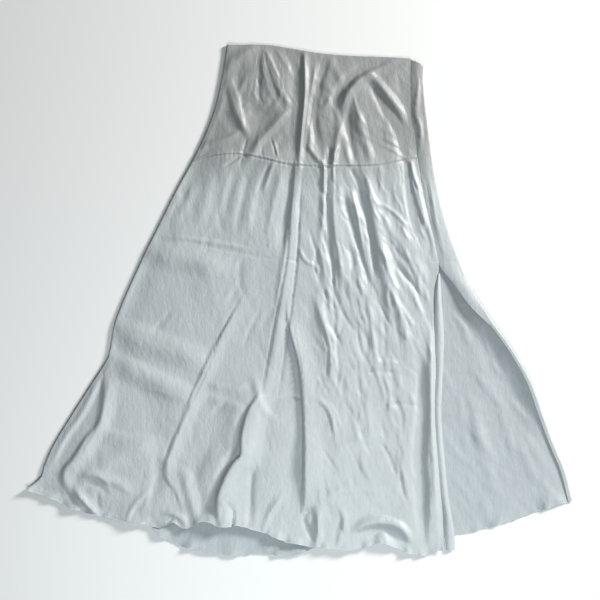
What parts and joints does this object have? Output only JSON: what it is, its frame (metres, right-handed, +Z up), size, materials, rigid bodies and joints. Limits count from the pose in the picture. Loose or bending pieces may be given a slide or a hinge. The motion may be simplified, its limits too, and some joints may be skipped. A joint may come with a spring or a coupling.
{
  "type": "skirt",
  "caption": "Long flared skirt laid flat, with a fitted hip yoke, soft lengthwise folds and an open side slit that shows the back.",
  "frame": {"origin": "middle of the laid-out skirt's outline, on the surface that it rests on", "axes": "+X to the right across the hem as seen from above, +Y from the hem to the waist, +Z up from the surface towards the front of the skirt"},
  "size_m": [0.9517, 0.8917, 0.0192],
  "materials": {
    "satin_right_side": "smooth glossy satin, pale silver-grey",
    "satin_wrong_side": "matter reverse of the satin, fine twill-like weave"
  },
  "bodies": {
    "root": {"front_yoke": "satin_right_side", "front_panel": "satin_right_side", "slit_facing": "satin_right_side", "back_yoke": "satin_right_side", "back_panel": "satin_wrong_side"}
  },
  "joints": []
}
